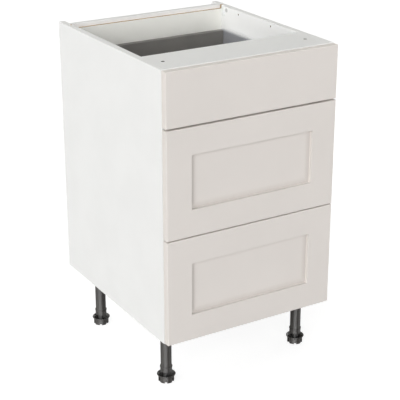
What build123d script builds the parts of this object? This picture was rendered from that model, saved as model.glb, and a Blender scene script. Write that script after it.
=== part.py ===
from build123d import *
import os
from math import cos, radians, sin

# Kitchen base cabinet, 500 mm wide, with three drawers on screw feet.
# Millimetres. X to the right, Y to the rear, Z up, floor at Z = 0,
# origin under the middle of the whole cabinet, fronts included.

os.makedirs("parts", exist_ok=True)

# ------------------------------------------------------------------ sizes
CABINET_W = 500.0          # outside of the side panels
CARCASS_H = 720.0          # side panel height
CARCASS_D = 560.0          # side panel depth
LEG_H = 150.0              # floor to underside of the carcass
BOARD = 18.0               # carcass board
FRONT_T = 19.0             # drawer front board
FRONT_AIR = 2.0            # front to carcass
FRONT_W = 498.0

Y_FRONT = -(CARCASS_D + FRONT_T + FRONT_AIR) / 2   # face of the fronts
Y_CARC = Y_FRONT + FRONT_T + FRONT_AIR             # front edge of the carcass
Y_REAR = Y_CARC + CARCASS_D                        # rear edge of the carcass
Z_BASE = LEG_H
Z_TOP = LEG_H + CARCASS_H
X_OUT = CABINET_W / 2
X_IN = X_OUT - BOARD                               # inner face of a side panel

RAIL_D = 128.0             # width of both top rails
VOID_D = 47.0              # service void behind the back panel
BACK_T = 8.0               # back panel, white faced board
Y_BACK = Y_REAR - VOID_D - BACK_T                  # front face of the back panel
BACK_TOP = Z_TOP - 10.0
GROOVE_DEEP = 8.0
GROOVE_WIDE = 8.2

FIX_X = 208.0              # worktop fixing holes in the front rail
FIX_Y = Y_CARC + 64.0
FIX_R = 5.0

CAM_X = 208.0              # cam lock centres
BOTTOM_CAM_Y = (Y_CARC + 130.0, Y_CARC + 380.0)
BOTTOM_DOWEL_Y = (Y_CARC + 30.0, Y_CARC + 255.0, Y_CARC + 480.0)
FRONT_CAM_Y = Y_CARC + 102.0
FRONT_DOWEL_Y = Y_CARC + 26.0
REAR_MID_Y = Y_BACK + BACK_T + BOARD / 2
REAR_CAM_Z = Z_TOP - 84.0
REAR_DOWEL_Z = Z_TOP - 26.0
BACK_SCREW_X = (-150.0, 0.0, 150.0)
BLOCK_PEG_H = (8.0, 21.0)                          # corner block's pegs below the top edge

# drawers: front from / to, underside of the steel side, top of the back board
DRAWERS = {
    "top":    dict(z0=728.5, z1=868.5, side=739.0, back=70.0, rail=False, panel=False),
    "middle": dict(z0=440.0, z1=724.0, side=452.5, back=146.0, rail=True, panel=True),
    "bottom": dict(z0=153.0, z1=437.0, side=184.0, back=146.0, rail=True, panel=True),
}
FRAME = 70.6               # width of the frame round a recessed panel
RECESS = 8.5               # depth of the recessed panel
RECESS_TAPER = 0.4         # how far its sloping walls reach in

SIDE_H = 70.0              # steel side, height
SIDE_OUT = 4.6             # side panel to outer skin
SIDE_IN = 22.0             # side panel to inner skin
SKIN = 1.0
Y_BOX_FRONT = Y_FRONT + FRONT_T                    # rear face of the fronts
Y_BOX_REAR = Y_CARC + 474.0
DRAWER_BOARD = 16.0
RAIL_Z = 120.0             # gallery rail above the drawer's underside
RAIL_S = 13.5              # gallery rail to side panel
RAIL_R = 5.0

RUNNER_LEN = 500.0
RUNNER_Y = Y_CARC + 3.0
SHEET = 1.2
RUNNER_SCREW_Y = (Y_CARC + 37.0, Y_CARC + 261.0, Y_CARC + 453.0)

LEG_X = 207.5
LEG_Y = (Y_CARC + 66.0, Y_CARC + 448.0)
LEG_SPOTS = {
    "front_left": (-LEG_X, LEG_Y[0]), "front_right": (LEG_X, LEG_Y[0]),
    "rear_left": (-LEG_X, LEG_Y[1]), "rear_right": (LEG_X, LEG_Y[1]),
}
TUBE_R = 14.6
TUBE_BORE = 8.9
STEM_R = 8.55
COLLAR_Z = 29.0
FOOT_TURN = -122.0         # heading of a foot's first notch


def keep(piece, name):
    """Name a finished piece and write it."""
    piece.part.label = name
    export_step(piece.part, "parts/" + name + ".step")


def on_wall(side, y, z):
    """A plane on the inner face of a side panel at y, z, facing in (side -1 left, 1 right)."""
    return Plane(origin=(side * X_IN, y, z), x_dir=(0, 1, 0), z_dir=(-side, 0, 0))


# -------------------------------------------------------------- fasteners
# 3.5 x 15 countersunk screw: top of the head at the origin, point down
with BuildPart() as wood_screw:
    with BuildSketch(Plane.XZ):
        with BuildLine():
            Polyline((0, 0), (3.05, 0), (3.1, -0.3), (1.6, -1.95), (1.55, -12.4), (0, -15), close=True)
        make_face()
    revolve(axis=Axis.Z)
    with BuildSketch(Plane.XY):
        Rectangle(3.6, 0.9)
        Rectangle(0.9, 3.6)
    extrude(amount=-1.3, mode=Mode.SUBTRACT)

# 3.5 x 14 pan head screw: underside of the head at the origin
with BuildPart() as pan_screw:
    with BuildSketch(Plane.XZ):
        with BuildLine():
            Polyline((0, 1.7), (2.2, 1.7), (3.2, 1.1), (3.5, 0), (1.55, 0), (1.55, -11.5), (0, -14), close=True)
        make_face()
    revolve(axis=Axis.Z)
    with BuildSketch(Plane.XY.offset(1.7)):
        Rectangle(3.4, 0.9)
        Rectangle(0.9, 3.4)
    extrude(amount=-1.2, mode=Mode.SUBTRACT)

# 3.5 x 25 pan head screw of the back panel
with BuildPart() as long_screw:
    with BuildSketch(Plane.XZ):
        with BuildLine():
            Polyline((0, 1.7), (2.2, 1.7), (3.2, 1.1), (3.5, 0), (1.55, 0), (1.55, -22.5), (0, -25), close=True)
        make_face()
    revolve(axis=Axis.Z)
    with BuildSketch(Plane.XY.offset(1.7)):
        Rectangle(3.4, 0.9)
        Rectangle(0.9, 3.4)
    extrude(amount=-1.2, mode=Mode.SUBTRACT)

# cam lock: face at the origin, body down, its mouth towards +X
with BuildPart() as cam:
    with BuildSketch(Plane.XY):
        Circle(7.3)
    extrude(amount=-12.2)
    chamfer(cam.faces().sort_by(Axis.Z)[-1].edges(), 0.5)
    with BuildSketch(Plane.YZ):
        with Locations((0, -9)):
            Circle(3.9)
    extrude(amount=8, mode=Mode.SUBTRACT)
    with Locations((0, 0, -9)):
        Sphere(3.9, mode=Mode.SUBTRACT)
    with BuildSketch(Plane.XY):
        Rectangle(8.5, 1.5)
        Rectangle(1.5, 8.5)
    extrude(amount=-1.8, mode=Mode.SUBTRACT)

# cam bolt: origin on the side panel's face, head towards +Z
with BuildPart() as cam_bolt:
    with BuildSketch(Plane.XZ):
        with BuildLine():
            Polyline((0, -11), (2.0, -11), (2.5, -10), (2.5, 0), (3.8, 0), (3.8, 1.5), (2.2, 2.2),
                     (2.2, 19.4), (3.2, 20.2), (3.2, 22.0), (2.6, 22.8), (0, 22.8), close=True)
        make_face()
    revolve(axis=Axis.Z)

# 8 x 30 dowel: origin on the side panel's face
with BuildPart() as dowel:
    with BuildSketch(Plane.XY.offset(-10.5)):
        Circle(4.0)
    extrude(amount=30)
    chamfer(dowel.faces().filter_by(GeomType.PLANE).edges(), 0.8)

# ---------------------------------------------------------------- carcass
with BuildPart() as side_panel_left:
    with BuildSketch(Plane.YZ.offset(-X_OUT)):
        with Locations(((Y_CARC + Y_REAR) / 2, (Z_BASE + Z_TOP) / 2)):
            Rectangle(CARCASS_D, CARCASS_H)
    extrude(amount=BOARD)
    # thin lipping, its arrises eased
    fillet(side_panel_left.edges(), 0.7)
    # groove for the back panel, open at the top edge
    with BuildSketch(Plane.XY.offset(Z_BASE)):
        with Locations((-X_IN - GROOVE_DEEP / 2, Y_BACK + BACK_T / 2)):
            Rectangle(GROOVE_DEEP, GROOVE_WIDE)
    extrude(amount=CARCASS_H, mode=Mode.SUBTRACT)
    # cam bolts
    with Locations(*[on_wall(-1, y, Z_BASE + BOARD / 2) for y in BOTTOM_CAM_Y],
                   on_wall(-1, FRONT_CAM_Y, Z_TOP - BOARD / 2),
                   on_wall(-1, REAR_MID_Y, REAR_CAM_Z)):
        Hole(2.6, 12)
    # dowels
    with Locations(*[on_wall(-1, y, Z_BASE + BOARD / 2) for y in BOTTOM_DOWEL_Y],
                   on_wall(-1, FRONT_DOWEL_Y, Z_TOP - BOARD / 2),
                   on_wall(-1, REAR_MID_Y, REAR_DOWEL_Z)):
        Hole(4.05, 11)
    # pilot holes of the runner screws
    with Locations(*[on_wall(-1, y, d["side"] + 19.0) for d in DRAWERS.values() for y in RUNNER_SCREW_Y]):
        Hole(1.65, 13.5)
    # fixing holes under the top edge, two spare and one closed by a cap, and those of the corner block
    with Locations(*[on_wall(-1, Y_CARC + y, Z_TOP - 10.5) for y in (256.0, 416.0, 478.0)]):
        Hole(2.5, 12)
    with Locations(*[on_wall(-1, Y_CARC + 493.5, Z_TOP - h) for h in BLOCK_PEG_H]):
        Hole(2.5, 10)
keep(side_panel_left, "side_panel_left")

with BuildPart() as side_panel_right:
    mirror(side_panel_left.part, about=Plane.YZ)
keep(side_panel_right, "side_panel_right")

with BuildPart() as bottom_panel:
    with BuildSketch(Plane.XY.offset(Z_BASE)):
        with Locations((0, (Y_CARC + Y_BACK) / 2)):
            Rectangle(2 * X_IN, Y_BACK - Y_CARC)
    extrude(amount=BOARD)
    fillet(bottom_panel.edges().filter_by(Axis.X).group_by(Axis.Y)[0], 0.7)
    with Locations(*[Plane(origin=(x, y, Z_BASE), z_dir=(0, 0, -1)) for x in (-CAM_X, CAM_X) for y in BOTTOM_CAM_Y]):
        Hole(7.5, 12.5)
    for side in (-1, 1):
        with Locations(*[Plane(origin=(side * X_IN, y, Z_BASE + BOARD / 2), z_dir=(side, 0, 0)) for y in BOTTOM_CAM_Y]):
            Hole(4.0, X_IN - CAM_X)
        with Locations(*[Plane(origin=(side * X_IN, y, Z_BASE + BOARD / 2), z_dir=(side, 0, 0)) for y in BOTTOM_DOWEL_Y]):
            Hole(4.05, 20.5)
    with Locations(*[Plane(origin=(x + dx, y + dy, Z_BASE), z_dir=(0, 0, -1))
                     for x, y in LEG_SPOTS.values() for dx in (-16, 16) for dy in (-16, 16)]):
        Hole(1.65, 14.0)
    with Locations(*[Plane(origin=(x, Y_BACK, Z_BASE + BOARD / 2), z_dir=(0, 1, 0)) for x in BACK_SCREW_X]):
        Hole(1.65, 18)
keep(bottom_panel, "bottom_panel")

with BuildPart() as back_panel:
    with BuildSketch(Plane.XZ.offset(-(Y_BACK + BACK_T))):
        with Locations((0, (Z_BASE + 2 + BACK_TOP) / 2)):
            Rectangle(2 * (X_IN + GROOVE_DEEP - 0.5), BACK_TOP - Z_BASE - 2)
    extrude(amount=BACK_T)
    with Locations(*[Plane(origin=(x, Y_BACK + BACK_T, Z_BASE + BOARD / 2), z_dir=(0, 1, 0)) for x in BACK_SCREW_X]):
        Hole(1.7, BACK_T)
keep(back_panel, "back_panel")

with BuildPart() as front_top_rail:
    with BuildSketch(Plane.XY.offset(Z_TOP - BOARD)):
        with Locations((0, Y_CARC + RAIL_D / 2)):
            Rectangle(2 * X_IN, RAIL_D)
    extrude(amount=BOARD)
    fillet(front_top_rail.edges().filter_by(Axis.X), 0.6)
    with Locations(*[(x, FIX_Y, Z_TOP) for x in (-FIX_X, FIX_X)]):
        Hole(FIX_R, BOARD)
    with Locations(*[Plane(origin=(x, FRONT_CAM_Y, Z_TOP - BOARD), z_dir=(0, 0, -1)) for x in (-CAM_X, CAM_X)]):
        Hole(7.5, 12.5)
    for side in (-1, 1):
        with Locations(Plane(origin=(side * X_IN, FRONT_CAM_Y, Z_TOP - BOARD / 2), z_dir=(side, 0, 0))):
            Hole(4.0, X_IN - CAM_X)
        with Locations(Plane(origin=(side * X_IN, FRONT_DOWEL_Y, Z_TOP - BOARD / 2), z_dir=(side, 0, 0))):
            Hole(4.05, 20.5)
keep(front_top_rail, "front_top_rail")

with BuildPart() as rear_top_rail:
    with BuildSketch(Plane.YZ.offset(-X_IN)):
        with Locations((REAR_MID_Y, Z_TOP - RAIL_D / 2)):
            Rectangle(BOARD, RAIL_D)
    extrude(amount=2 * X_IN)
    fillet(rear_top_rail.edges().filter_by(Axis.X), 0.6)
    with Locations(*[Plane(origin=(x, REAR_MID_Y + BOARD / 2, REAR_CAM_Z), z_dir=(0, 1, 0)) for x in (-CAM_X, CAM_X)]):
        Hole(7.5, 12.5)
    for side in (-1, 1):
        with Locations(Plane(origin=(side * X_IN, REAR_MID_Y, REAR_CAM_Z), z_dir=(side, 0, 0))):
            Hole(4.0, X_IN - CAM_X)
        with Locations(Plane(origin=(side * X_IN, REAR_MID_Y, REAR_DOWEL_Z), z_dir=(side, 0, 0))):
            Hole(4.05, 20.5)
keep(rear_top_rail, "rear_top_rail")

with BuildPart() as cam_locks:
    for side in (-1, 1):
        with Locations(*[Plane(origin=(side * CAM_X, y, Z_BASE + 0.1), x_dir=(side, 0, 0), z_dir=(0, 0, -1)) for y in BOTTOM_CAM_Y],
                       Plane(origin=(side * CAM_X, FRONT_CAM_Y, Z_TOP - BOARD + 0.1), x_dir=(side, 0, 0), z_dir=(0, 0, -1)),
                       Plane(origin=(side * CAM_X, REAR_MID_Y + BOARD / 2 - 0.1, REAR_CAM_Z), x_dir=(side, 0, 0), z_dir=(0, 1, 0))):
            add(cam.part)
keep(cam_locks, "cam_locks")

with BuildPart() as cam_bolts:
    for side in (-1, 1):
        with Locations(*[on_wall(side, y, Z_BASE + BOARD / 2) for y in BOTTOM_CAM_Y],
                       on_wall(side, FRONT_CAM_Y, Z_TOP - BOARD / 2),
                       on_wall(side, REAR_MID_Y, REAR_CAM_Z)):
            add(cam_bolt.part)
keep(cam_bolts, "cam_bolts")

with BuildPart() as panel_dowels:
    for side in (-1, 1):
        with Locations(*[on_wall(side, y, Z_BASE + BOARD / 2) for y in BOTTOM_DOWEL_Y],
                       on_wall(side, FRONT_DOWEL_Y, Z_TOP - BOARD / 2),
                       on_wall(side, REAR_MID_Y, REAR_DOWEL_Z)):
            add(dowel.part)
keep(panel_dowels, "panel_dowels")

with BuildPart() as back_screws:
    with Locations(*[Plane(origin=(x, Y_BACK + BACK_T, Z_BASE + BOARD / 2), z_dir=(0, 1, 0)) for x in BACK_SCREW_X]):
        add(long_screw.part)
keep(back_screws, "back_screws")

# narrow nylon keeper plates beside the back panel's top corners, pegged to the side panels
with BuildPart() as corner_blocks:
    with BuildSketch(Plane.YZ.offset(X_IN)):
        with Locations((Y_CARC + 493.5, Z_TOP - 14.5)):
            RectangleRounded(12.5, 27.0, 1.5)
    extrude(amount=-2.2)
    fillet(corner_blocks.faces().sort_by(Axis.X)[0].edges(), 0.7)
    with BuildSketch(Plane.YZ.offset(X_IN)):
        with Locations(*[(Y_CARC + 493.5, Z_TOP - h) for h in BLOCK_PEG_H]):
            Circle(2.45)
    extrude(amount=9.0)
    mirror(about=Plane.YZ)
keep(corner_blocks, "corner_blocks")

# flat grey caps pushed into the rearmost fixing holes
with BuildPart() as cover_caps:
    with BuildSketch(Plane.YZ.offset(X_IN)):
        with Locations((Y_CARC + 478.0, Z_TOP - 10.5)):
            Circle(5.8)
    extrude(amount=-1.2)
    fillet(cover_caps.faces().sort_by(Axis.X)[0].edges(), 0.6)
    with BuildSketch(Plane.YZ.offset(X_IN)):
        with Locations((Y_CARC + 478.0, Z_TOP - 10.5)):
            Circle(2.45)
    extrude(amount=9.0)
    mirror(about=Plane.YZ)
keep(cover_caps, "cover_caps")

# ------------------------------------------------------------------- legs
with BuildPart() as leg_mount:
    with BuildSketch(Plane.XY.offset(Z_BASE)):
        RectangleRounded(54, 54, 12)
    extrude(amount=-4)
    with BuildSketch(Plane.XY.offset(Z_BASE - 4)):
        Circle(17.6)
    extrude(amount=-20)
    # four webs brace the socket
    with BuildSketch(Plane.XY.offset(Z_BASE - 4)):
        Rectangle(46, 2.2)
        Rectangle(2.2, 46)
    extrude(amount=-9)
    with BuildSketch(Plane.XY.offset(Z_BASE - 24)):
        Circle(TUBE_R + 0.1)
    extrude(amount=20, mode=Mode.SUBTRACT)
    with Locations(*[Plane(origin=(dx, dy, Z_BASE - 4), z_dir=(0, 0, -1)) for dx in (-16, 16) for dy in (-16, 16)]):
        CounterSinkHole(radius=1.8, counter_sink_radius=3.6, depth=4)

with BuildPart() as leg_mounts:
    with Locations(*[(x, y, 0) for x, y in LEG_SPOTS.values()]):
        add(leg_mount.part)
keep(leg_mounts, "leg_mounts")

with BuildPart() as leg_screws:
    with Locations(*[Plane(origin=(x + dx, y + dy, Z_BASE - 4 + 0.15), z_dir=(0, 0, -1))
                     for x, y in LEG_SPOTS.values() for dx in (-16, 16) for dy in (-16, 16)]):
        add(wood_screw.part)
keep(leg_screws, "leg_screws")

with BuildPart() as leg_tube:
    with BuildSketch(Plane.XZ):
        with BuildLine():
            Polyline((TUBE_BORE, COLLAR_Z), (15.2, COLLAR_Z), (15.7, COLLAR_Z + 0.5), (15.7, COLLAR_Z + 12.4),
                     (16.8, COLLAR_Z + 13.6), (16.8, COLLAR_Z + 14.8), (16.3, COLLAR_Z + 15.3),
                     (TUBE_R, COLLAR_Z + 15.3), (TUBE_R, 69.4), (TUBE_R - 0.35, 69.8), (TUBE_R - 0.35, 70.8),
                     (TUBE_R, 71.2), (TUBE_R, Z_BASE - 4.8), (TUBE_R - 0.6, Z_BASE - 4.2),
                     (0, Z_BASE - 4.2), (0, Z_BASE - 12), (TUBE_BORE, Z_BASE - 12), close=True)
        make_face()
    revolve(axis=Axis.Z)
    # shallow grip grooves in the collar
    with BuildSketch(Plane.XY.offset(COLLAR_Z)):
        with PolarLocations(15.7, 6, start_angle=FOOT_TURN + 30):
            Rectangle(1.4, 2.4)
    extrude(amount=11.5, mode=Mode.SUBTRACT)

with BuildPart() as leg_tubes:
    with Locations(*[(x, y, 0) for x, y in LEG_SPOTS.values()]):
        add(leg_tube.part)
keep(leg_tubes, "leg_tubes")

# screw foot: a cup with a flared rim round a threaded stem
STEM_TOP = 92.0
THREAD_PITCH = 3.0
stem_points = []
z = 24.0
while z < STEM_TOP - 4:
    stem_points += [(STEM_R - 0.9, z), (STEM_R, z + 1.1), (STEM_R, z + 1.5), (STEM_R - 0.9, z + 2.6)]
    z += THREAD_PITCH
with BuildPart() as foot:
    with BuildSketch(Plane.XZ):
        with BuildLine():
            Polyline((0, 0), (20.0, 0), (21.0, 1.0), (21.0, 15.6), (21.5, 17.4), (24.2, 18.7), (24.8, 19.5),
                     (24.8, 20.4), (24.3, 21.0), (23.4, 21.0), (19.9, 17.6), (19.4, 16.6), (19.4, 5.2), (STEM_R - 0.4, 5.2),
                     (STEM_R - 0.4, 23.2), *stem_points, (STEM_R - 1.2, STEM_TOP - 1.2), (STEM_R - 2.2, STEM_TOP),
                     (0, STEM_TOP), close=True)
        make_face()
    revolve(axis=Axis.Z)
    # three tall windows and three low notches round the cup
    with BuildSketch(Plane.XY):
        with PolarLocations(17.5, 3, start_angle=FOOT_TURN + 60):
            Rectangle(10, 7.6)
    extrude(amount=13.6, mode=Mode.SUBTRACT)
    with BuildSketch(Plane.XY):
        with PolarLocations(17.5, 3, start_angle=FOOT_TURN):
            Rectangle(11, 6.6)
    extrude(amount=4.2, mode=Mode.SUBTRACT)

for spot, (x, y) in LEG_SPOTS.items():
    with BuildPart() as placed_foot:
        with Locations((x, y, 0)):
            add(foot.part)
    keep(placed_foot, "foot_" + spot)


# --------------------------------------------------------------- drawers
def drawer_front(name, z0, z1, panel):
    with BuildPart() as front:
        with BuildSketch(Plane.XZ.offset(-Y_BOX_FRONT)):
            with Locations((0, (z0 + z1) / 2)):
                Rectangle(FRONT_W, z1 - z0)
        extrude(amount=FRONT_T)
        # wrapped edges: rounded at the face, barely eased at the rear
        fillet(front.edges().group_by(Axis.Y)[-1], 0.4)
        fillet(front.edges().group_by(Axis.Y)[0], 1.6)
        if panel:
            # recessed centre panel with slightly sloping walls
            with BuildSketch(Plane.XZ.offset(-Y_FRONT)):
                with Locations((0, (z0 + z1) / 2)):
                    RectangleRounded(FRONT_W - 2 * FRAME, z1 - z0 - 2 * FRAME, 2.0)
            with BuildSketch(Plane.XZ.offset(-(Y_FRONT + RECESS))):
                with Locations((0, (z0 + z1) / 2)):
                    RectangleRounded(FRONT_W - 2 * FRAME - 2 * RECESS_TAPER,
                                     z1 - z0 - 2 * FRAME - 2 * RECESS_TAPER, 1.0)
            loft(mode=Mode.SUBTRACT)
            floor = front.faces().filter_by(Axis.Y).sort_by(Axis.Y)[1]
            fillet(floor.edges(), 0.8)
            face = front.faces().filter_by(Axis.Y).sort_by(Axis.Y)[0]
            fillet(face.inner_wires()[0].edges(), 0.4)
        # pilot holes of the bracket screws
        side = DRAWERS[name]["side"]
        spots = [(sx * (X_IN - 13.3), side + h) for sx in (-1, 1) for h in (22.0, 59.0)]
        if DRAWERS[name]["rail"]:
            spots += [(sx * (X_IN - RAIL_S), side + RAIL_Z) for sx in (-1, 1)]
        with Locations(*[Plane(origin=(x, Y_BOX_FRONT, zz), z_dir=(0, 1, 0)) for x, zz in spots]):
            Hole(1.65, 14.0)
    return front


def steel_side(side_z, length_y0, length_y1):
    """Left double-walled drawer side with the foot flange under the drawer's base."""
    x_out, x_in = -X_IN + SIDE_OUT, -X_IN + SIDE_IN
    with BuildPart() as steel:
        with BuildSketch(Plane.XZ.offset(-length_y1)):
            with Locations(((x_out + x_in) / 2, side_z + (11 + SIDE_H) / 2)):
                RectangleRounded(x_in - x_out, SIDE_H - 11, 2.6)
            with Locations(((x_out + x_in) / 2, side_z + (11 + SIDE_H) / 2)):
                RectangleRounded(x_in - x_out - 2 * SKIN, SIDE_H - 11 - 2 * SKIN, 1.6, mode=Mode.SUBTRACT)
            with Locations((x_in - SKIN / 2, side_z + 9)):
                Rectangle(SKIN, 18)
            with Locations((x_in - SKIN + 11.5, side_z + SKIN / 2)):
                Rectangle(23, SKIN)
        extrude(amount=length_y1 - length_y0)
        # screw holes in the flange
        with Locations(*[Plane(origin=(x_in + 11, y, side_z), z_dir=(0, 0, -1)) for y in BASE_SCREW_Y]):
            Hole(1.9, SKIN)
    return steel


BASE_SCREW_Y = (Y_CARC + 60.0, Y_CARC + 245.0, Y_CARC + 430.0)
BASE_SCREW_X = X_IN - SIDE_IN - 11.0
BASE_X = X_IN - SIDE_IN - 0.4                     # half width of base and back
BACK_Y0 = Y_BOX_REAR - DRAWER_BOARD               # inner face of the drawer's back

for name, d in DRAWERS.items():
    z = d["side"]
    keep(drawer_front(name, d["z0"], d["z1"], d["panel"]), "front_" + name)

    left_side = steel_side(z, Y_BOX_FRONT, Y_BOX_REAR)
    keep(left_side, "side_left_" + name)
    with BuildPart() as right_side:
        mirror(left_side.part, about=Plane.YZ)
    keep(right_side, "side_right_" + name)

    with BuildPart() as base:
        with BuildSketch(Plane.XY.offset(z + SKIN)):
            with Locations((0, (Y_BOX_FRONT + Y_BOX_REAR) / 2)):
                Rectangle(2 * BASE_X, Y_BOX_REAR - Y_BOX_FRONT)
        extrude(amount=DRAWER_BOARD)
        with Locations(*[Plane(origin=(sx * BASE_SCREW_X, y, z + SKIN), z_dir=(0, 0, -1))
                         for sx in (-1, 1) for y in BASE_SCREW_Y]):
            Hole(1.65, 14.0)
    keep(base, "base_" + name)

    back_h = d["back"] - SKIN - DRAWER_BOARD
    bracket_screw_z = (z + 30.0, z + 56.0)
    with BuildPart() as back:
        with BuildSketch(Plane.XY.offset(z + SKIN + DRAWER_BOARD)):
            with Locations((0, (BACK_Y0 + Y_BOX_REAR) / 2)):
                Rectangle(2 * BASE_X, DRAWER_BOARD)
        extrude(amount=back_h)
        fillet(back.edges().filter_by(Axis.X).group_by(Axis.Z)[-1], 1.0)
        with Locations(*[Plane(origin=(sx * (BASE_X - 12), Y_BOX_REAR, zz), z_dir=(0, 1, 0))
                         for sx in (-1, 1) for zz in bracket_screw_z]):
            Hole(1.65, 13.0)
    keep(back, "back_" + name)

    # front brackets: a screwed plate with a hooked tongue, inside the hollow side
    with BuildPart() as front_brackets:
        with BuildSketch(Plane.XZ.offset(-(Y_BOX_FRONT + 2.0))):
            with Locations((X_IN - 13.3, z + 40.5)):
                RectangleRounded(14.0, 55.0, 1.0)
        extrude(amount=2.0)
        with BuildSketch(Plane.YZ.offset(X_IN - 18.3)):
            with BuildLine():
                Polyline((Y_BOX_FRONT + 2, z + 27), (Y_BOX_FRONT + 30, z + 27), (Y_BOX_FRONT + 38, z + 33),
                         (Y_BOX_FRONT + 38, z + 45), (Y_BOX_FRONT + 31, z + 45), (Y_BOX_FRONT + 31, z + 39),
                         (Y_BOX_FRONT + 22, z + 39), (Y_BOX_FRONT + 16, z + 53), (Y_BOX_FRONT + 2, z + 53), close=True)
            make_face()
        extrude(amount=10.0)
        with Locations(*[Plane(origin=(X_IN - 13.3, Y_BOX_FRONT + 2.0, z + h), z_dir=(0, 1, 0)) for h in (22.0, 59.0)]):
            CounterSinkHole(radius=1.8, counter_sink_radius=3.6, depth=2.0)
        if d["rail"]:
            # round cup for the gallery rail
            with BuildSketch(Plane.XZ.offset(-(Y_BOX_FRONT + 16.0))):
                with Locations((X_IN - RAIL_S, z + RAIL_Z)):
                    Circle(7.0)
            extrude(amount=16.0)
            with BuildSketch(Plane.XZ.offset(-(Y_BOX_FRONT + 16.0))):
                with Locations((X_IN - RAIL_S, z + RAIL_Z)):
                    Circle(RAIL_R + 0.1)
            extrude(amount=13.0, mode=Mode.SUBTRACT)
            with Locations(Plane(origin=(X_IN - RAIL_S, Y_BOX_FRONT + 3.0, z + RAIL_Z), z_dir=(0, 1, 0))):
                Hole(1.8, 3.0)
        mirror(about=Plane.YZ)
    keep(front_brackets, "front_brackets_" + name)

    # back brackets: a steel plate behind the back board and across the hollow side's end
    with BuildPart() as back_brackets:
        with BuildSketch(Plane.XZ.offset(-(Y_BOX_REAR + 1.5))):
            with Locations(((X_IN - 5.0 + X_IN - 50.0) / 2, z + (12.5 + SIDE_H - 1) / 2)):
                RectangleRounded(45.0, SIDE_H - 13.5, 2.0)
            if d["rail"]:
                with Locations((X_IN - RAIL_S, z + (40 + RAIL_Z + 9) / 2)):
                    RectangleRounded(17.0, RAIL_Z + 9 - 40, 2.0)
        extrude(amount=1.5)
        with Locations(*[Plane(origin=(BASE_X - 12, Y_BOX_REAR + 1.5, zz), z_dir=(0, 1, 0)) for zz in bracket_screw_z]):
            Hole(1.8, 1.5)
        if d["rail"]:
            with BuildSketch(Plane.XZ.offset(-Y_BOX_REAR)):
                with Locations((X_IN - RAIL_S, z + RAIL_Z)):
                    Circle(7.0)
            extrude(amount=16.0)
            with BuildSketch(Plane.XZ.offset(-(Y_BOX_REAR - 3.0))):
                with Locations((X_IN - RAIL_S, z + RAIL_Z)):
                    Circle(RAIL_R + 0.1)
            extrude(amount=13.0, mode=Mode.SUBTRACT)
        mirror(about=Plane.YZ)
    keep(back_brackets, "back_brackets_" + name)

    if d["rail"]:
        with BuildPart() as gallery_rails:
            with BuildSketch(Plane.XZ.offset(-(Y_BOX_REAR - 3.5))):
                with Locations((X_IN - RAIL_S, z + RAIL_Z)):
                    Circle(RAIL_R)
                    Circle(RAIL_R - 1.0, mode=Mode.SUBTRACT)
            extrude(amount=(Y_BOX_REAR - 3.5) - (Y_BOX_FRONT + 3.5))
            mirror(about=Plane.YZ)
        keep(gallery_rails, "gallery_rails_" + name)

    # fasteners of the drawer
    with BuildPart() as drawer_screws:
        with Locations(*[Plane(origin=(X_IN - 13.3, Y_BOX_FRONT + 2.0, z + h), z_dir=(0, 1, 0)) for h in (22.0, 59.0)]):
            add(wood_screw.part)
        with Locations(*[Plane(origin=(BASE_X - 12, Y_BOX_REAR + 1.5, zz), z_dir=(0, 1, 0)) for zz in bracket_screw_z]):
            add(pan_screw.part)
        with Locations(*[Plane(origin=(BASE_SCREW_X, y, z), z_dir=(0, 0, -1)) for y in BASE_SCREW_Y]):
            add(pan_screw.part)
        if d["rail"]:
            with Locations(Plane(origin=(X_IN - RAIL_S, Y_BOX_FRONT + 3.0, z + RAIL_Z), z_dir=(0, 1, 0))):
                add(pan_screw.part)
        mirror(about=Plane.YZ)
    keep(drawer_screws, "drawer_screws_" + name)

    # ------------------------------------------------------------ runners
    # cabinet member: wall flange, foot flange and a low upstand
    with BuildPart() as runner_cabinet:
        with BuildSketch(Plane.XZ.offset(-(RUNNER_Y + RUNNER_LEN))):
            with Locations((X_IN - SHEET / 2, z + 8.5)):
                Rectangle(SHEET, 37.0)
            with Locations((X_IN - 6.5, z - 10 + SHEET / 2)):
                Rectangle(13.0, SHEET)
            with Locations((X_IN - 10.5, z - 4.0)):
                Rectangle(5.0, 12.0)
            with Locations((X_IN - 10.5, z - 4.6)):
                Rectangle(5.0 - 2 * SHEET, 10.8, mode=Mode.SUBTRACT)
        extrude(amount=RUNNER_LEN)
        with Locations(*[Plane(origin=(X_IN - SHEET, y, z + 19.0), z_dir=(-1, 0, 0)) for y in RUNNER_SCREW_Y]):
            Hole(1.8, SHEET)
        mirror(about=Plane.YZ)
    keep(runner_cabinet, "runner_cabinet_" + name)

    # centre member: an upside-down channel
    with BuildPart() as runner_middle:
        with BuildSketch(Plane.XZ.offset(-(RUNNER_Y + 470.0))):
            with Locations((X_IN - 10.5, z - 0.15)):
                Rectangle(10.6, 12.7)
            with Locations((X_IN - 10.5, z - 0.75)):
                Rectangle(10.6 - 2 * SHEET, 11.5, mode=Mode.SUBTRACT)
        extrude(amount=420.0)
        mirror(about=Plane.YZ)
    keep(runner_middle, "runner_middle_" + name)

    # polymer carriages: inside the centre member at its rear, round it at its front
    with BuildPart() as runner_carriages:
        with BuildSketch(Plane.XZ.offset(-(RUNNER_Y + 468.0))):
            with Locations((X_IN - 10.5, z - 0.55)):
                Rectangle(8.0, 10.9)
            with Locations((X_IN - 10.5, z - 1.8)):
                Rectangle(5.8, 8.4, mode=Mode.SUBTRACT)
        extrude(amount=176.0)
        with BuildSketch(Plane.XZ.offset(-(RUNNER_Y + 230.0))):
            with Locations((X_IN - 10.5, z + 3.35)):
                Rectangle(13.2, 12.1)
            with Locations((X_IN - 10.5, z + 1.8)):
                Rectangle(10.8, 9.0, mode=Mode.SUBTRACT)
        extrude(amount=176.0)
        mirror(about=Plane.YZ)
    keep(runner_carriages, "runner_carriages_" + name)

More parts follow.
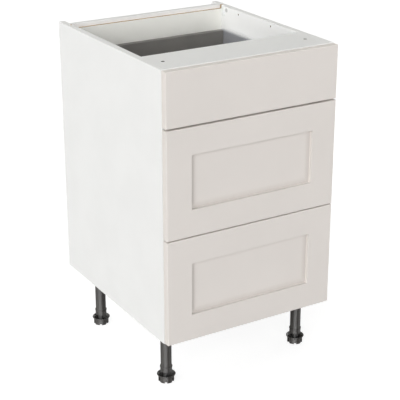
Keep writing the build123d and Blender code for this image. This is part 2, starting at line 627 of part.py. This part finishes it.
    # drawer member: a wider upside-down channel under the hollow side
    with BuildPart() as runner_drawer:
        with BuildSketch(Plane.XZ.offset(-(RUNNER_Y + 471.0))):
            with Locations((X_IN - 10.7, z + 4.0)):
                Rectangle(16.6, 14.0)
            with Locations((X_IN - 10.7, z + 3.4)):
                Rectangle(16.6 - 2 * SHEET, 12.8, mode=Mode.SUBTRACT)
        extrude(amount=469.0)
        mirror(about=Plane.YZ)
    keep(runner_drawer, "runner_drawer_" + name)

with BuildPart() as runner_screws:
    for side in (-1, 1):
        with Locations(*[Plane(origin=(side * (X_IN - SHEET), y, d["side"] + 19.0), x_dir=(0, 1, 0), z_dir=(-side, 0, 0))
                         for d in DRAWERS.values() for y in RUNNER_SCREW_Y]):
            add(pan_screw.part)
keep(runner_screws, "runner_screws")
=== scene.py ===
import bpy
import bmesh
import math
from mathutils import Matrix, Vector


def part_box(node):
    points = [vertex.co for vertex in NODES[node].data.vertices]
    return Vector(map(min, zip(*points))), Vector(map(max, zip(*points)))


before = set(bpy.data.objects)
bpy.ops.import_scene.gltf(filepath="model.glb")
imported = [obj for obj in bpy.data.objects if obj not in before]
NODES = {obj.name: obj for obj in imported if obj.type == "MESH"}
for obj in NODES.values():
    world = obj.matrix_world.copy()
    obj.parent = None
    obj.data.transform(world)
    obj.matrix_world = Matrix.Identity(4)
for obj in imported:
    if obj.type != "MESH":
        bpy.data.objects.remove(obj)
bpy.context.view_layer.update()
DRAWERS = ("top", "middle", "bottom")


# ------------------------------------------------------------------ node tools
class Shader:
    """A material's node tree, with short calls for the nodes used here."""

    def __init__(self, name):
        self.mat = bpy.data.materials.new(name)
        self.mat.use_nodes = True
        self.tree = self.mat.node_tree
        self.tree.nodes.clear()
        self.out = self.tree.nodes.new("ShaderNodeOutputMaterial")
        self.bsdf = self.tree.nodes.new("ShaderNodeBsdfPrincipled")
        self.tree.links.new(self.bsdf.outputs[0], self.out.inputs["Surface"])
        self.coord = self.tree.nodes.new("ShaderNodeTexCoord").outputs["Object"]
        self.normal = self.tree.nodes.new("ShaderNodeNewGeometry").outputs["Normal"]
        self._xyz = None
        self._bump = None

    def put(self, socket, value):
        if isinstance(value, bpy.types.NodeSocket):
            self.tree.links.new(value, socket)
        elif value is not None:
            if hasattr(socket.default_value, "__len__") and len(socket.default_value) == 4 and len(value) == 3:
                value = (*value, 1.0)
            socket.default_value = value

    def set(self, **named):
        for key, value in named.items():
            self.put(self.bsdf.inputs[key.replace("_", " ")], value)

    def math(self, op, a, b=None, c=None, clamp=False):
        n = self.tree.nodes.new("ShaderNodeMath")
        n.operation = op
        n.use_clamp = clamp
        for i, v in enumerate((a, b, c)):
            self.put(n.inputs[i], v)
        return n.outputs[0]

    def xyz(self):
        if self._xyz is None:
            n = self.tree.nodes.new("ShaderNodeSeparateXYZ")
            self.put(n.inputs[0], self.coord)
            self._xyz = n.outputs
        return self._xyz

    def split(self, vector):
        n = self.tree.nodes.new("ShaderNodeSeparateXYZ")
        self.put(n.inputs[0], vector)
        return n.outputs

    def scaled(self, sx, sy, sz, vector=None, add=(0, 0, 0)):
        n = self.tree.nodes.new("ShaderNodeMapping")
        self.put(n.inputs["Vector"], vector or self.coord)
        n.inputs["Scale"].default_value = (sx, sy, sz)
        n.inputs["Location"].default_value = add
        return n.outputs[0]

    def noise(self, scale, detail=3.0, rough=0.55, vector=None, distort=0.0):
        n = self.tree.nodes.new("ShaderNodeTexNoise")
        self.put(n.inputs["Vector"], vector or self.coord)
        n.inputs["Scale"].default_value = scale
        n.inputs["Detail"].default_value = detail
        n.inputs["Roughness"].default_value = rough
        n.inputs["Distortion"].default_value = distort
        return n.outputs["Fac"]

    def cells(self, scale, vector=None, feature="F1", random=1.0):
        n = self.tree.nodes.new("ShaderNodeTexVoronoi")
        n.feature = feature
        self.put(n.inputs["Vector"], vector or self.coord)
        n.inputs["Scale"].default_value = scale
        n.inputs["Randomness"].default_value = random
        return n.outputs

    def span(self, value, lo, hi, to_lo=0.0, to_hi=1.0, smooth=True):
        n = self.tree.nodes.new("ShaderNodeMapRange")
        n.interpolation_type = "SMOOTHSTEP" if smooth else "LINEAR"
        for i, v in enumerate((value, lo, hi, to_lo, to_hi)):
            self.put(n.inputs[i], v)
        return n.outputs[0]

    def blend(self, fac, a, b, how="MIX"):
        n = self.tree.nodes.new("ShaderNodeMix")
        n.data_type = "RGBA"
        n.blend_type = how
        n.clamp_factor = True
        self.put(n.inputs[0], fac)
        self.put(n.inputs[6], a)
        self.put(n.inputs[7], b)
        return n.outputs[2]

    def mixf(self, fac, a, b):
        n = self.tree.nodes.new("ShaderNodeMix")
        n.data_type = "FLOAT"
        n.clamp_factor = True
        self.put(n.inputs[0], fac)
        self.put(n.inputs[2], a)
        self.put(n.inputs[3], b)
        return n.outputs[0]

    def ramp(self, fac, *stops):
        n = self.tree.nodes.new("ShaderNodeValToRGB")
        self.put(n.inputs[0], fac)
        e = n.color_ramp.elements
        while len(e) > 1:
            e.remove(e[-1])
        e[0].position, e[0].color = stops[0][0], (*stops[0][1], 1)
        for pos, col in stops[1:]:
            e.new(pos).color = (*col, 1)
        return n.outputs[0]

    def bump(self, height, depth, strength=1.0):
        n = self.tree.nodes.new("ShaderNodeBump")
        n.inputs["Strength"].default_value = strength
        n.inputs["Distance"].default_value = depth
        self.put(n.inputs["Height"], height)
        if self._bump is not None:
            self.put(n.inputs["Normal"], self._bump)
        self._bump = n.outputs[0]
        self.put(self.bsdf.inputs["Normal"], self._bump)
        return self._bump

    def facing(self, axis, sign=1, lo=0.6, hi=0.8):
        """1 where the surface at rest faces along an axis: its object-space normal."""
        n = self.tree.nodes.new("ShaderNodeVectorTransform")
        n.vector_type = "NORMAL"
        n.convert_from, n.convert_to = "WORLD", "OBJECT"
        self.put(n.inputs[0], self.normal)
        v = self.split(n.outputs[0])[axis]
        if sign < 0:
            v = self.math("MULTIPLY", v, -1.0)
        elif sign == 0:
            v = self.math("ABSOLUTE", v)
        return self.span(v, lo, hi)

    def depth_in(self, lo, hi):
        """How far a point lies inside a box, in metres."""
        best = None
        for i in range(3):
            c = self.xyz()[i]
            for d in (self.math("SUBTRACT", c, lo[i]), self.math("SUBTRACT", hi[i], c)):
                best = d if best is None else self.math("MINIMUM", best, d)
        return best


def srgb(r, g, b):
    """0 to 255 display values to linear."""
    return tuple((c / 255 / 12.92 if c / 255 <= 0.04045 else ((c / 255 + 0.055) / 1.055) ** 2.4) for c in (r, g, b))


# ------------------------------------------------------------------- materials
WHITE = (0.865, 0.865, 0.860)
WARM = (0.872, 0.868, 0.820)
GREIGE = (0.765, 0.722, 0.688)


def chip_core(s, depth=None):
    """Colour of raw chipboard: pressed chips, fines and resin; deeper in holes it is painted dark, as shade."""
    chips = s.cells(620)
    fines = s.noise(2400, 2)
    tone = s.math("ADD", s.math("MULTIPLY", s.split(chips[1])[0], 0.65), s.math("MULTIPLY", fines, 0.35))
    raw = s.ramp(tone, (0.05, srgb(140, 115, 84)), (0.45, srgb(178, 153, 118)), (0.95, srgb(205, 184, 150)))
    if depth is None:
        return raw
    # painted shade: the chipboard turns near-black deeper in a hole
    deep_shade = s.ramp(tone, (0.05, srgb(34, 28, 22)), (0.95, srgb(64, 54, 43)))
    return s.blend(s.span(depth, 0.0004, 0.0024), raw, deep_shade)


def white_board(node, shade=1.0, seam_faces=True, groove=None, hole_shade_rate=1.0):
    """White melamine board with thin lipping; raw chipboard shows in holes and grooves, with painted shade deeper in
    the holes.
    """
    lo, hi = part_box(node)
    s = Shader("white_board_" + node)
    depth = s.depth_in(lo, hi)
    core = s.span(depth, 0.00028, 0.00045)
    # painted shade: how soon a hole's raw core turns dark with depth
    hole = s.math("MULTIPLY", depth, hole_shade_rate)
    if groove:
        # the painted hole shade is kept out of the groove, which shows light raw chipboard all the way in
        off = s.math("MAXIMUM", s.math("SUBTRACT", groove[0], s.xyz()[1]), s.math("SUBTRACT", s.xyz()[1], groove[1]))
        hole = s.math("MULTIPLY", hole, s.span(off, 0.0002, 0.0008))
    mottle = s.noise(9, 3)
    fine = s.noise(900, 2)
    white = s.blend(s.span(mottle, 0.3, 0.7), tuple(c * shade * 0.985 for c in WHITE), tuple(c * shade * 1.01 for c in WHITE))
    white = s.blend(s.math("MULTIPLY", s.span(fine, 0.35, 0.75), 0.10), white, tuple(c * shade * 0.9 for c in WHITE))
    # hairline where the lipping meets the face
    best = None
    for i in (1, 2):
        c = s.xyz()[i]
        for d in (s.math("SUBTRACT", c, lo[i]), s.math("SUBTRACT", hi[i], c)):
            line = s.math("ABSOLUTE", s.math("SUBTRACT", d, 0.00095))
            best = line if best is None else s.math("MINIMUM", best, line)
    seam = s.math("MULTIPLY", s.span(best, 0.00022, 0.00008), s.facing(0, 0)) if seam_faces else 0.0
    if seam_faces:
        white = s.blend(s.math("MULTIPLY", seam, 0.45), white, tuple(c * 0.62 for c in WHITE))
    s.set(Base_Color=s.blend(core, white, chip_core(s, hole)))
    s.set(Roughness=s.mixf(core, s.span(s.noise(700, 2), 0.3, 0.7, 0.40, 0.50), 0.9))
    s.set(Specular_IOR_Level=0.42)
    s.bump(s.noise(520, 3, 0.6), 0.00010, 0.35)
    s.bump(s.math("MULTIPLY", s.noise(1500, 2), core), 0.0004, 0.9)
    return s.mat


def raw_edge_board(node):
    """Thin white-faced board whose cut edges stay raw: fine chips in a tan binder."""
    s = Shader("raw_edge_board_" + node)
    face = s.facing(1, 0)
    chips = s.split(s.cells(900)[1])[0]
    fibre = s.noise(1, 4, 0.65, s.scaled(260, 1400, 2600))
    tone = s.math("ADD", s.math("MULTIPLY", fibre, 0.6), s.math("MULTIPLY", chips, 0.4))
    raw = s.ramp(tone, (0.25, srgb(146, 118, 84)), (0.5, srgb(180, 152, 114)), (0.8, srgb(206, 182, 146)))
    white = s.blend(s.span(s.noise(22, 3), 0.3, 0.7), tuple(c * 0.985 for c in WARM), tuple(c * 1.01 for c in WARM))
    fine = s.noise(900, 2)
    white = s.blend(s.math("MULTIPLY", s.span(fine, 0.35, 0.75), 0.08), white, tuple(c * 0.92 for c in WARM))
    # the rear face carries a plainer, cooler backing sheet
    white = s.blend(s.facing(1, 1), white, s.blend(fine, tuple(c * 0.96 for c in WHITE), WHITE))
    s.set(Base_Color=s.blend(face, raw, white))
    s.set(Roughness=s.mixf(face, 0.85, s.span(s.noise(700, 2), 0.3, 0.7, 0.42, 0.52)))
    s.set(Specular_IOR_Level=0.40)
    s.bump(s.math("MULTIPLY", fibre, s.math("SUBTRACT", 1.0, face)), 0.0004, 0.7)
    s.bump(s.noise(520, 3, 0.6), 0.00008, 0.3)
    return s.mat


def front_foil(node, recess=None):
    """Wrapped front: smooth greige foil, white melamine on the rear face."""
    lo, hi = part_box(node)
    s = Shader("front_foil_" + node)
    y = s.xyz()[1]
    rear = s.math("MULTIPLY", s.span(y, hi[1] - 0.0004, hi[1] - 0.0001), s.facing(1, 1))
    edge = s.depth_in((lo[0], -9, lo[2]), (hi[0], 9, hi[2]))
    lap = s.span(edge, 0.0085, 0.0090)              # the foil laps a little onto the rear face
    rear = s.math("MULTIPLY", rear, lap)
    mottle = s.noise(6, 3)
    fine = s.noise(1400, 2)
    foil = s.blend(s.span(mottle, 0.3, 0.7), tuple(c * 0.988 for c in GREIGE), tuple(c * 1.01 for c in GREIGE))
    foil = s.blend(s.math("MULTIPLY", s.span(fine, 0.4, 0.8), 0.05), foil, tuple(c * 0.86 for c in GREIGE))
    if recess:
        # painted shade: the recess floor is darkened next to its left, right and bottom walls
        inset = s.depth_in((lo[0] + recess[0], -9, lo[2] + recess[0]), (hi[0] - recess[0], 9, 9))
        rim = s.depth_in((lo[0] + recess[0], -9, lo[2] + recess[0]), (hi[0] - recess[0], 9, hi[2] - recess[0]))
        above = s.math("SUBTRACT", lo[1] + recess[1], y)
        away = s.math("SQRT", s.math("ADD", s.math("MULTIPLY", inset, inset), s.math("MULTIPLY", above, above)))
        near = s.math("ADD", s.math("MULTIPLY", s.span(away, 0.0190, 0.0060), 0.55), s.math("MULTIPLY", s.span(away, 0.0080, 0.0010), 0.45))
        corner_shade = s.math("MULTIPLY", near, s.math("MULTIPLY", s.span(above, 0.0060, 0.0020), s.span(inset, 0.0002, 0.0010)))
        foil = s.blend(corner_shade, foil, tuple(c * k for c, k in zip(GREIGE, (0.80, 0.785, 0.775))))
        # painted shade: the recess walls are coloured a little darker
        wall_shade = s.math("MULTIPLY", s.span(above, 0.0001, 0.0010), s.span(above, 0.0084, 0.0076))
        wall_shade = s.math("MULTIPLY", wall_shade, s.span(s.math("ABSOLUTE", rim), 0.0060, 0.0030))
        foil = s.blend(wall_shade, foil, tuple(c * k for c, k in zip(GREIGE, (0.925, 0.93, 0.93))))
    white = s.blend(s.span(fine, 0.3, 0.7), tuple(c * 0.97 for c in WHITE), WHITE)
    s.set(Base_Color=s.blend(rear, foil, white))
    s.set(Roughness=s.span(s.noise(800, 2), 0.3, 0.7, 0.42, 0.50))
    s.set(Specular_IOR_Level=0.40)
    s.bump(s.noise(300, 2), 0.00006, 0.25)
    s.bump(s.noise(1900, 2), 0.00003, 0.2)
    return s.mat


def grey_board(node):
    """Dark grey melamine board of the drawer's base and back."""
    s = Shader("grey_board_" + node)
    weave = s.noise(1500, 2)
    tone = s.noise(12, 3)
    base = s.blend(s.span(tone, 0.3, 0.7), srgb(118, 116, 113), srgb(126, 124, 120))
    base = s.blend(s.math("MULTIPLY", s.span(weave, 0.35, 0.75), 0.35), base, srgb(98, 96, 93))
    s.set(Base_Color=base)
    s.set(Roughness=s.span(s.noise(900, 2), 0.3, 0.7, 0.46, 0.60))
    s.set(Specular_IOR_Level=0.4)
    s.bump(weave, 0.00010, 0.45)
    return s.mat


def grey_steel(node=None, outer=0):
    """Powder-coated sheet: fine orange peel, a trace of metal flake; a drawer side's rim carries a painted
    reflection, lighter towards its outer edge.
    """
    s = Shader("grey_steel" + ("_" + node if node else ""))
    flake = s.split(s.cells(5200)[1])[0]
    base = s.blend(s.span(flake, 0.86, 0.97), srgb(140, 141, 145), srgb(160, 161, 166))
    cloud = s.span(s.noise(14, 3), 0.3, 0.7)
    base = s.blend(s.math("MULTIPLY", cloud, 0.5), base, srgb(133, 134, 138))
    if node:
        # painted reflection: the rolled rim's top is coloured lighter towards the outer edge, as if mirroring the
        # white cabinet wall
        lo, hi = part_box(node)
        top = s.span(s.xyz()[2], hi[2] - 0.0020, hi[2] - 0.0004)
        inner, edge = (lo[0], hi[0]) if outer > 0 else (hi[0], lo[0])
        inner = edge - outer * 0.0174
        painted_sheen = s.span(s.xyz()[0], inner + outer * 0.0005, edge - outer * 0.0020, smooth=False)
        base = s.blend(s.math("MULTIPLY", top, painted_sheen), base, srgb(226, 227, 228))
    s.set(Base_Color=base)
    s.set(Metallic=0.06, Specular_IOR_Level=0.3)
    s.set(Roughness=s.span(s.noise(350, 2), 0.3, 0.7, 0.48, 0.58))
    s.bump(s.noise(950, 2, 0.4), 0.00010, 0.4)
    return s.mat


def zinc_steel():
    """Galvanised rolled steel with faint spangle and drawing lines along its length."""
    s = Shader("zinc_steel")
    spangle = s.split(s.cells(230)[1])[0]
    lines = s.noise(1, 3, 0.6, s.scaled(5000, 60, 5000))
    tone = s.math("ADD", s.math("MULTIPLY", spangle, 0.5), s.math("MULTIPLY", lines, 0.5))
    s.set(Base_Color=s.ramp(tone, (0.2, (0.50, 0.51, 0.52)), (0.8, (0.68, 0.69, 0.70))))
    s.set(Metallic=1.0)
    s.set(Roughness=s.span(tone, 0.2, 0.8, 0.28, 0.46))
    s.bump(lines, 0.00006, 0.4)
    return s.mat


def screw_steel():
    s = Shader("screw_steel")
    swirl = s.noise(2600, 3)
    s.set(Base_Color=s.ramp(swirl, (0.3, (0.52, 0.52, 0.51)), (0.7, (0.72, 0.72, 0.70))))
    s.set(Metallic=1.0)
    s.set(Roughness=s.span(swirl, 0.3, 0.7, 0.25, 0.40))
    s.bump(s.noise(3500, 2), 0.00004, 0.4)
    return s.mat


def zinc_casting():
    s = Shader("zinc_casting")
    pits = s.noise(2200, 3)
    s.set(Base_Color=s.ramp(pits, (0.3, (0.44, 0.44, 0.45)), (0.7, (0.60, 0.60, 0.61))))
    s.set(Metallic=1.0)
    s.set(Roughness=s.span(pits, 0.3, 0.7, 0.38, 0.55))
    s.bump(pits, 0.00008, 0.6)
    return s.mat


def leg_plastic(node=None):
    """Dark moulded plastic, finely spark-textured; a foot's threaded stem is painted darker, as the shade inside its
    cup.
    """
    s = Shader("leg_plastic" + ("_" + node if node else ""))
    grain = s.noise(1700, 3, 0.6)
    blotch = s.noise(60, 3)
    base = s.blend(s.span(blotch, 0.3, 0.7), srgb(46, 43, 41), srgb(54, 51, 48))
    base = s.blend(s.math("MULTIPLY", s.span(grain, 0.45, 0.75), 0.3), base, srgb(70, 67, 63))
    rough = s.span(grain, 0.3, 0.7, 0.43, 0.51)
    if node:
        lo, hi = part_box(node)
        dx = s.math("SUBTRACT", s.xyz()[0], (lo[0] + hi[0]) / 2)
        dy = s.math("SUBTRACT", s.xyz()[1], (lo[1] + hi[1]) / 2)
        r = s.math("SQRT", s.math("ADD", s.math("MULTIPLY", dx, dx), s.math("MULTIPLY", dy, dy)))
        # painted shade: the stem near the foot's axis is coloured near-black
        stem_shade = s.span(r, 0.0100, 0.0092)
        base = s.blend(stem_shade, base, srgb(30, 28, 27))
        rough = s.mixf(stem_shade, rough, 0.62)
    s.set(Base_Color=base)
    s.set(Roughness=rough)
    # turned tooling leaves fine rings, which stretch the gloss upright
    s.set(Specular_IOR_Level=1.0, IOR=1.7, Anisotropic=0.93)
    upright = s.tree.nodes.new("ShaderNodeCombineXYZ")
    upright.inputs[2].default_value = 1.0
    s.put(s.bsdf.inputs["Tangent"], upright.outputs[0])
    s.bump(grain, 0.00004, 0.2)
    return s.mat


def white_nylon():
    s = Shader("white_nylon")
    flow = s.noise(160, 3)
    s.set(Base_Color=s.ramp(flow, (0.3, srgb(226, 226, 224)), (0.7, srgb(238, 238, 236))))
    s.set(Roughness=s.span(flow, 0.3, 0.7, 0.38, 0.48))
    s.set(Subsurface_Weight=0.08)
    s.bump(s.noise(1200, 2), 0.00005, 0.4)
    return s.mat


def cap_plastic():
    s = Shader("cap_plastic")
    flow = s.noise(260, 3)
    s.set(Base_Color=s.ramp(flow, (0.3, srgb(190, 190, 189)), (0.7, srgb(202, 202, 200))))
    s.set(Roughness=s.span(flow, 0.3, 0.7, 0.40, 0.52))
    s.bump(s.noise(1300, 2), 0.00005, 0.4)
    return s.mat


def runner_polymer():
    s = Shader("runner_polymer")
    flow = s.noise(220, 3)
    s.set(Base_Color=s.ramp(flow, (0.3, srgb(176, 176, 174)), (0.7, srgb(196, 196, 194))))
    s.set(Roughness=s.span(flow, 0.3, 0.7, 0.35, 0.48))
    s.bump(s.noise(1500, 2), 0.00005, 0.4)
    return s.mat


def beech():
    s = Shader("beech")
    grain = s.noise(1, 4, 0.6, s.scaled(60, 1800, 1800))
    s.set(Base_Color=s.ramp(grain, (0.3, srgb(190, 154, 110)), (0.7, srgb(222, 190, 146))))
    s.set(Roughness=s.span(grain, 0.3, 0.7, 0.55, 0.70))
    s.bump(grain, 0.00010, 0.5)
    return s.mat


def paint(node, material):
    o = NODES[node]
    for i in range(len(o.material_slots)):
        o.material_slots[i].material = material
    if not o.material_slots:
        o.data.materials.append(material)


for n in ("side_panel_left", "side_panel_right"):
    paint(n, white_board(n, groove=(0.2352, 0.2440)))
for n in ("bottom_panel", "rear_top_rail"):
    paint(n, white_board(n, seam_faces=False))
# the rail's holes are painted dark sooner, as shade
paint("front_top_rail", white_board("front_top_rail", seam_faces=False, hole_shade_rate=3.0))
paint("back_panel", raw_edge_board("back_panel"))
STEEL, ZINC, SCREW, PLASTIC = grey_steel(), zinc_steel(), screw_steel(), leg_plastic()
NYLON, POLYMER, BEECH, CAST = white_nylon(), runner_polymer(), beech(), zinc_casting()
for n in ("leg_mounts", "leg_tubes"):
    paint(n, PLASTIC)
for n in ("foot_front_left", "foot_front_right", "foot_rear_left", "foot_rear_right"):
    paint(n, leg_plastic(n))
for n in ("cam_bolts", "back_screws", "leg_screws", "runner_screws"):
    paint(n, SCREW)
paint("cam_locks", CAST)
paint("panel_dowels", BEECH)
paint("corner_blocks", NYLON)
paint("cover_caps", cap_plastic())
for d in DRAWERS:
    paint("front_" + d, front_foil("front_" + d, recess=None if d == "top" else (0.0706, 0.0085)))
    for n in ("base_", "back_"):
        paint(n + d, grey_board(n + d))
    paint("side_left_" + d, grey_steel("side_left_" + d, -1))
    paint("side_right_" + d, grey_steel("side_right_" + d, 1))
    paint("back_brackets_" + d, STEEL)
    for n in ("runner_cabinet_", "runner_middle_", "runner_drawer_", "front_brackets_"):
        paint(n + d, ZINC)
    paint("drawer_screws_" + d, SCREW)
    paint("runner_carriages_" + d, POLYMER)
for d in ("middle", "bottom"):
    paint("gallery_rails_" + d, STEEL)


# ----------------------------------------------------------------------- stage
def floor():
    me = bpy.data.meshes.new("floor")
    bm = bmesh.new()
    bmesh.ops.create_grid(bm, x_segments=4, y_segments=4, size=30)
    bm.to_mesh(me)
    bm.free()
    o = bpy.data.objects.new("floor", me)
    o.location = (0, 0, -0.0002)
    bpy.context.scene.collection.objects.link(o)
    s = Shader("studio_floor")
    tone = s.noise(0.6, 2)
    s.set(Base_Color=s.ramp(tone, (0.3, (0.35, 0.35, 0.35)), (0.7, (0.37, 0.37, 0.37))))
    s.set(Roughness=0.9, Specular_IOR_Level=0.0, Emission_Color=(1, 1, 1), Emission_Strength=0.80)
    # the floor is seen bright, and throws back only a little light
    dim = s.tree.nodes.new("ShaderNodeBsdfDiffuse")
    dim.inputs["Color"].default_value = (0.36, 0.36, 0.36, 1)
    ray = s.tree.nodes.new("ShaderNodeLightPath")
    mix = s.tree.nodes.new("ShaderNodeMixShader")
    s.tree.links.new(ray.outputs["Is Camera Ray"], mix.inputs[0])
    s.tree.links.new(dim.outputs[0], mix.inputs[1])
    s.tree.links.new(s.bsdf.outputs[0], mix.inputs[2])
    s.tree.links.new(mix.outputs[0], s.out.inputs["Surface"])
    me.materials.append(s.mat)
    return o


floor()

world = bpy.data.worlds.new("studio")
bpy.context.scene.world = world
world.use_nodes = True
wt = world.node_tree
soft = wt.nodes["Background"]
soft.inputs[0].default_value = (1.0, 1.0, 1.0, 1)
soft.inputs[1].default_value = 0.03
seen = wt.nodes.new("ShaderNodeBackground")
seen.inputs[0].default_value = (1.0, 1.0, 1.0, 1)
seen.inputs[1].default_value = 1.0
wray = wt.nodes.new("ShaderNodeLightPath")
wmix = wt.nodes.new("ShaderNodeMixShader")
wt.links.new(wray.outputs["Is Camera Ray"], wmix.inputs[0])
wt.links.new(soft.outputs[0], wmix.inputs[1])
wt.links.new(seen.outputs[0], wmix.inputs[2])
wt.links.new(wmix.outputs[0], wt.nodes["World Output"].inputs["Surface"])


def soft_light(name, azimuth, elevation, level, spread, colour=(1, 1, 1)):
    """A wide soft light from far away; azimuth 0 stands in front, negative to the left."""
    az, el = math.radians(azimuth), math.radians(elevation)
    toward = Vector((math.sin(az) * math.cos(el), -math.cos(az) * math.cos(el), math.sin(el)))
    data = bpy.data.lights.new(name, "SUN")
    data.energy = math.pi * level
    data.angle = math.radians(spread)
    data.color = colour
    o = bpy.data.objects.new(name, data)
    o.location = toward * 6.0
    o.rotation_euler = toward.to_track_quat("Z", "Y").to_euler()
    bpy.context.scene.collection.objects.link(o)


soft_light("key_light", -37, 8, 1.19, 66)
soft_light("side_light", -130, 15, 0.18, 60, (0.98, 0.99, 1.0))
soft_light("top_left", -90, 38, 0.36, 60, (1.0, 1.0, 0.97))
soft_light("top_rear", 180, 50, 0.25, 60, (1.0, 1.0, 0.93))
soft_light("right_rear", 104, 8, 0.36, 44)
soft_light("right_fill", 55, 12, 0.20, 40)

scene = bpy.context.scene
scene.view_settings.view_transform = "Standard"
scene.view_settings.look = "None"

# ---------------------------------------------------------------------- camera
AZ, EL = math.radians(-31.05), math.radians(21.88)
back = Vector((math.sin(AZ) * math.cos(EL), -math.cos(AZ) * math.cos(EL), math.sin(EL)))
cam_data = bpy.data.cameras.new("camera")
cam_data.sensor_width = 36.0
cam_data.lens = 107.93
cam_data.clip_start, cam_data.clip_end = 0.1, 100
cam = bpy.data.objects.new("camera", cam_data)
cam.location = (-1.5610, -2.6246, 1.6269)
cam.rotation_euler = (-back).to_track_quat("-Z", "Y").to_euler()
scene.collection.objects.link(cam)
scene.camera = cam
